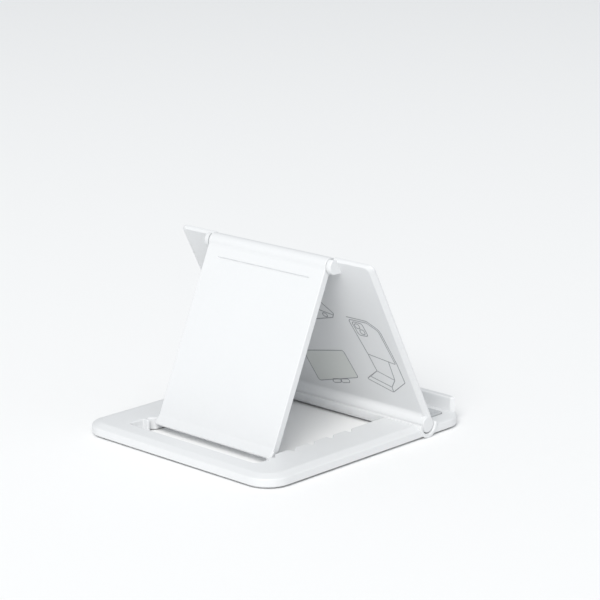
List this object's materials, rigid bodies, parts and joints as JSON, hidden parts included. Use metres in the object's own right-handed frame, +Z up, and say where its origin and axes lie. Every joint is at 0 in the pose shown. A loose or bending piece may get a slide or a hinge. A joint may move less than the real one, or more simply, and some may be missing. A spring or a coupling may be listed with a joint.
{
  "type": "tablet stand",
  "caption": "Folding desk stand for a phone or tablet: a flat base frame, a hinged support plate with grip pads, and a prop leg that stands in the notched opening of the base.",
  "frame": {"origin": "on the table, under the middle of the base's outline", "axes": "+X along both hinge axes, +Y from the lip that carries the device to the rear rail, +Z up"},
  "size_m": [0.0774, 0.085, 0.0561],
  "materials": {
    "white_plastic": "white moulded plastic, fine satin",
    "grip_pad": "soft grey silicone, matt",
    "foot_rubber": "grey rubber, matt"
  },
  "bodies": {
    "base": {"base_frame": "white_plastic", "lip_pad_left": "grip_pad", "lip_pad_right": "grip_pad", "foot_rear_left": "foot_rubber", "foot_rear_right": "foot_rubber", "foot_front_left": "foot_rubber", "foot_front_right": "foot_rubber"},
    "plate": {"support_plate": "white_plastic", "plate_pad": "grip_pad"},
    "leg": {"prop_leg": "white_plastic"}
  },
  "joints": [
    {"name": "plate_hinge", "type": "hinge", "parent": "base", "child": "plate", "pos_m": [0, -0.0243, 0.0039], "axis": [1, 0, 0], "range_deg": [-62.6, 32.4]},
    {"name": "leg_hinge", "type": "hinge", "parent": "plate", "child": "leg", "pos_m": [0, 0.00161, 0.05366], "axis": [1, 0, 0], "range_deg": [-46, 0]}
  ]
}
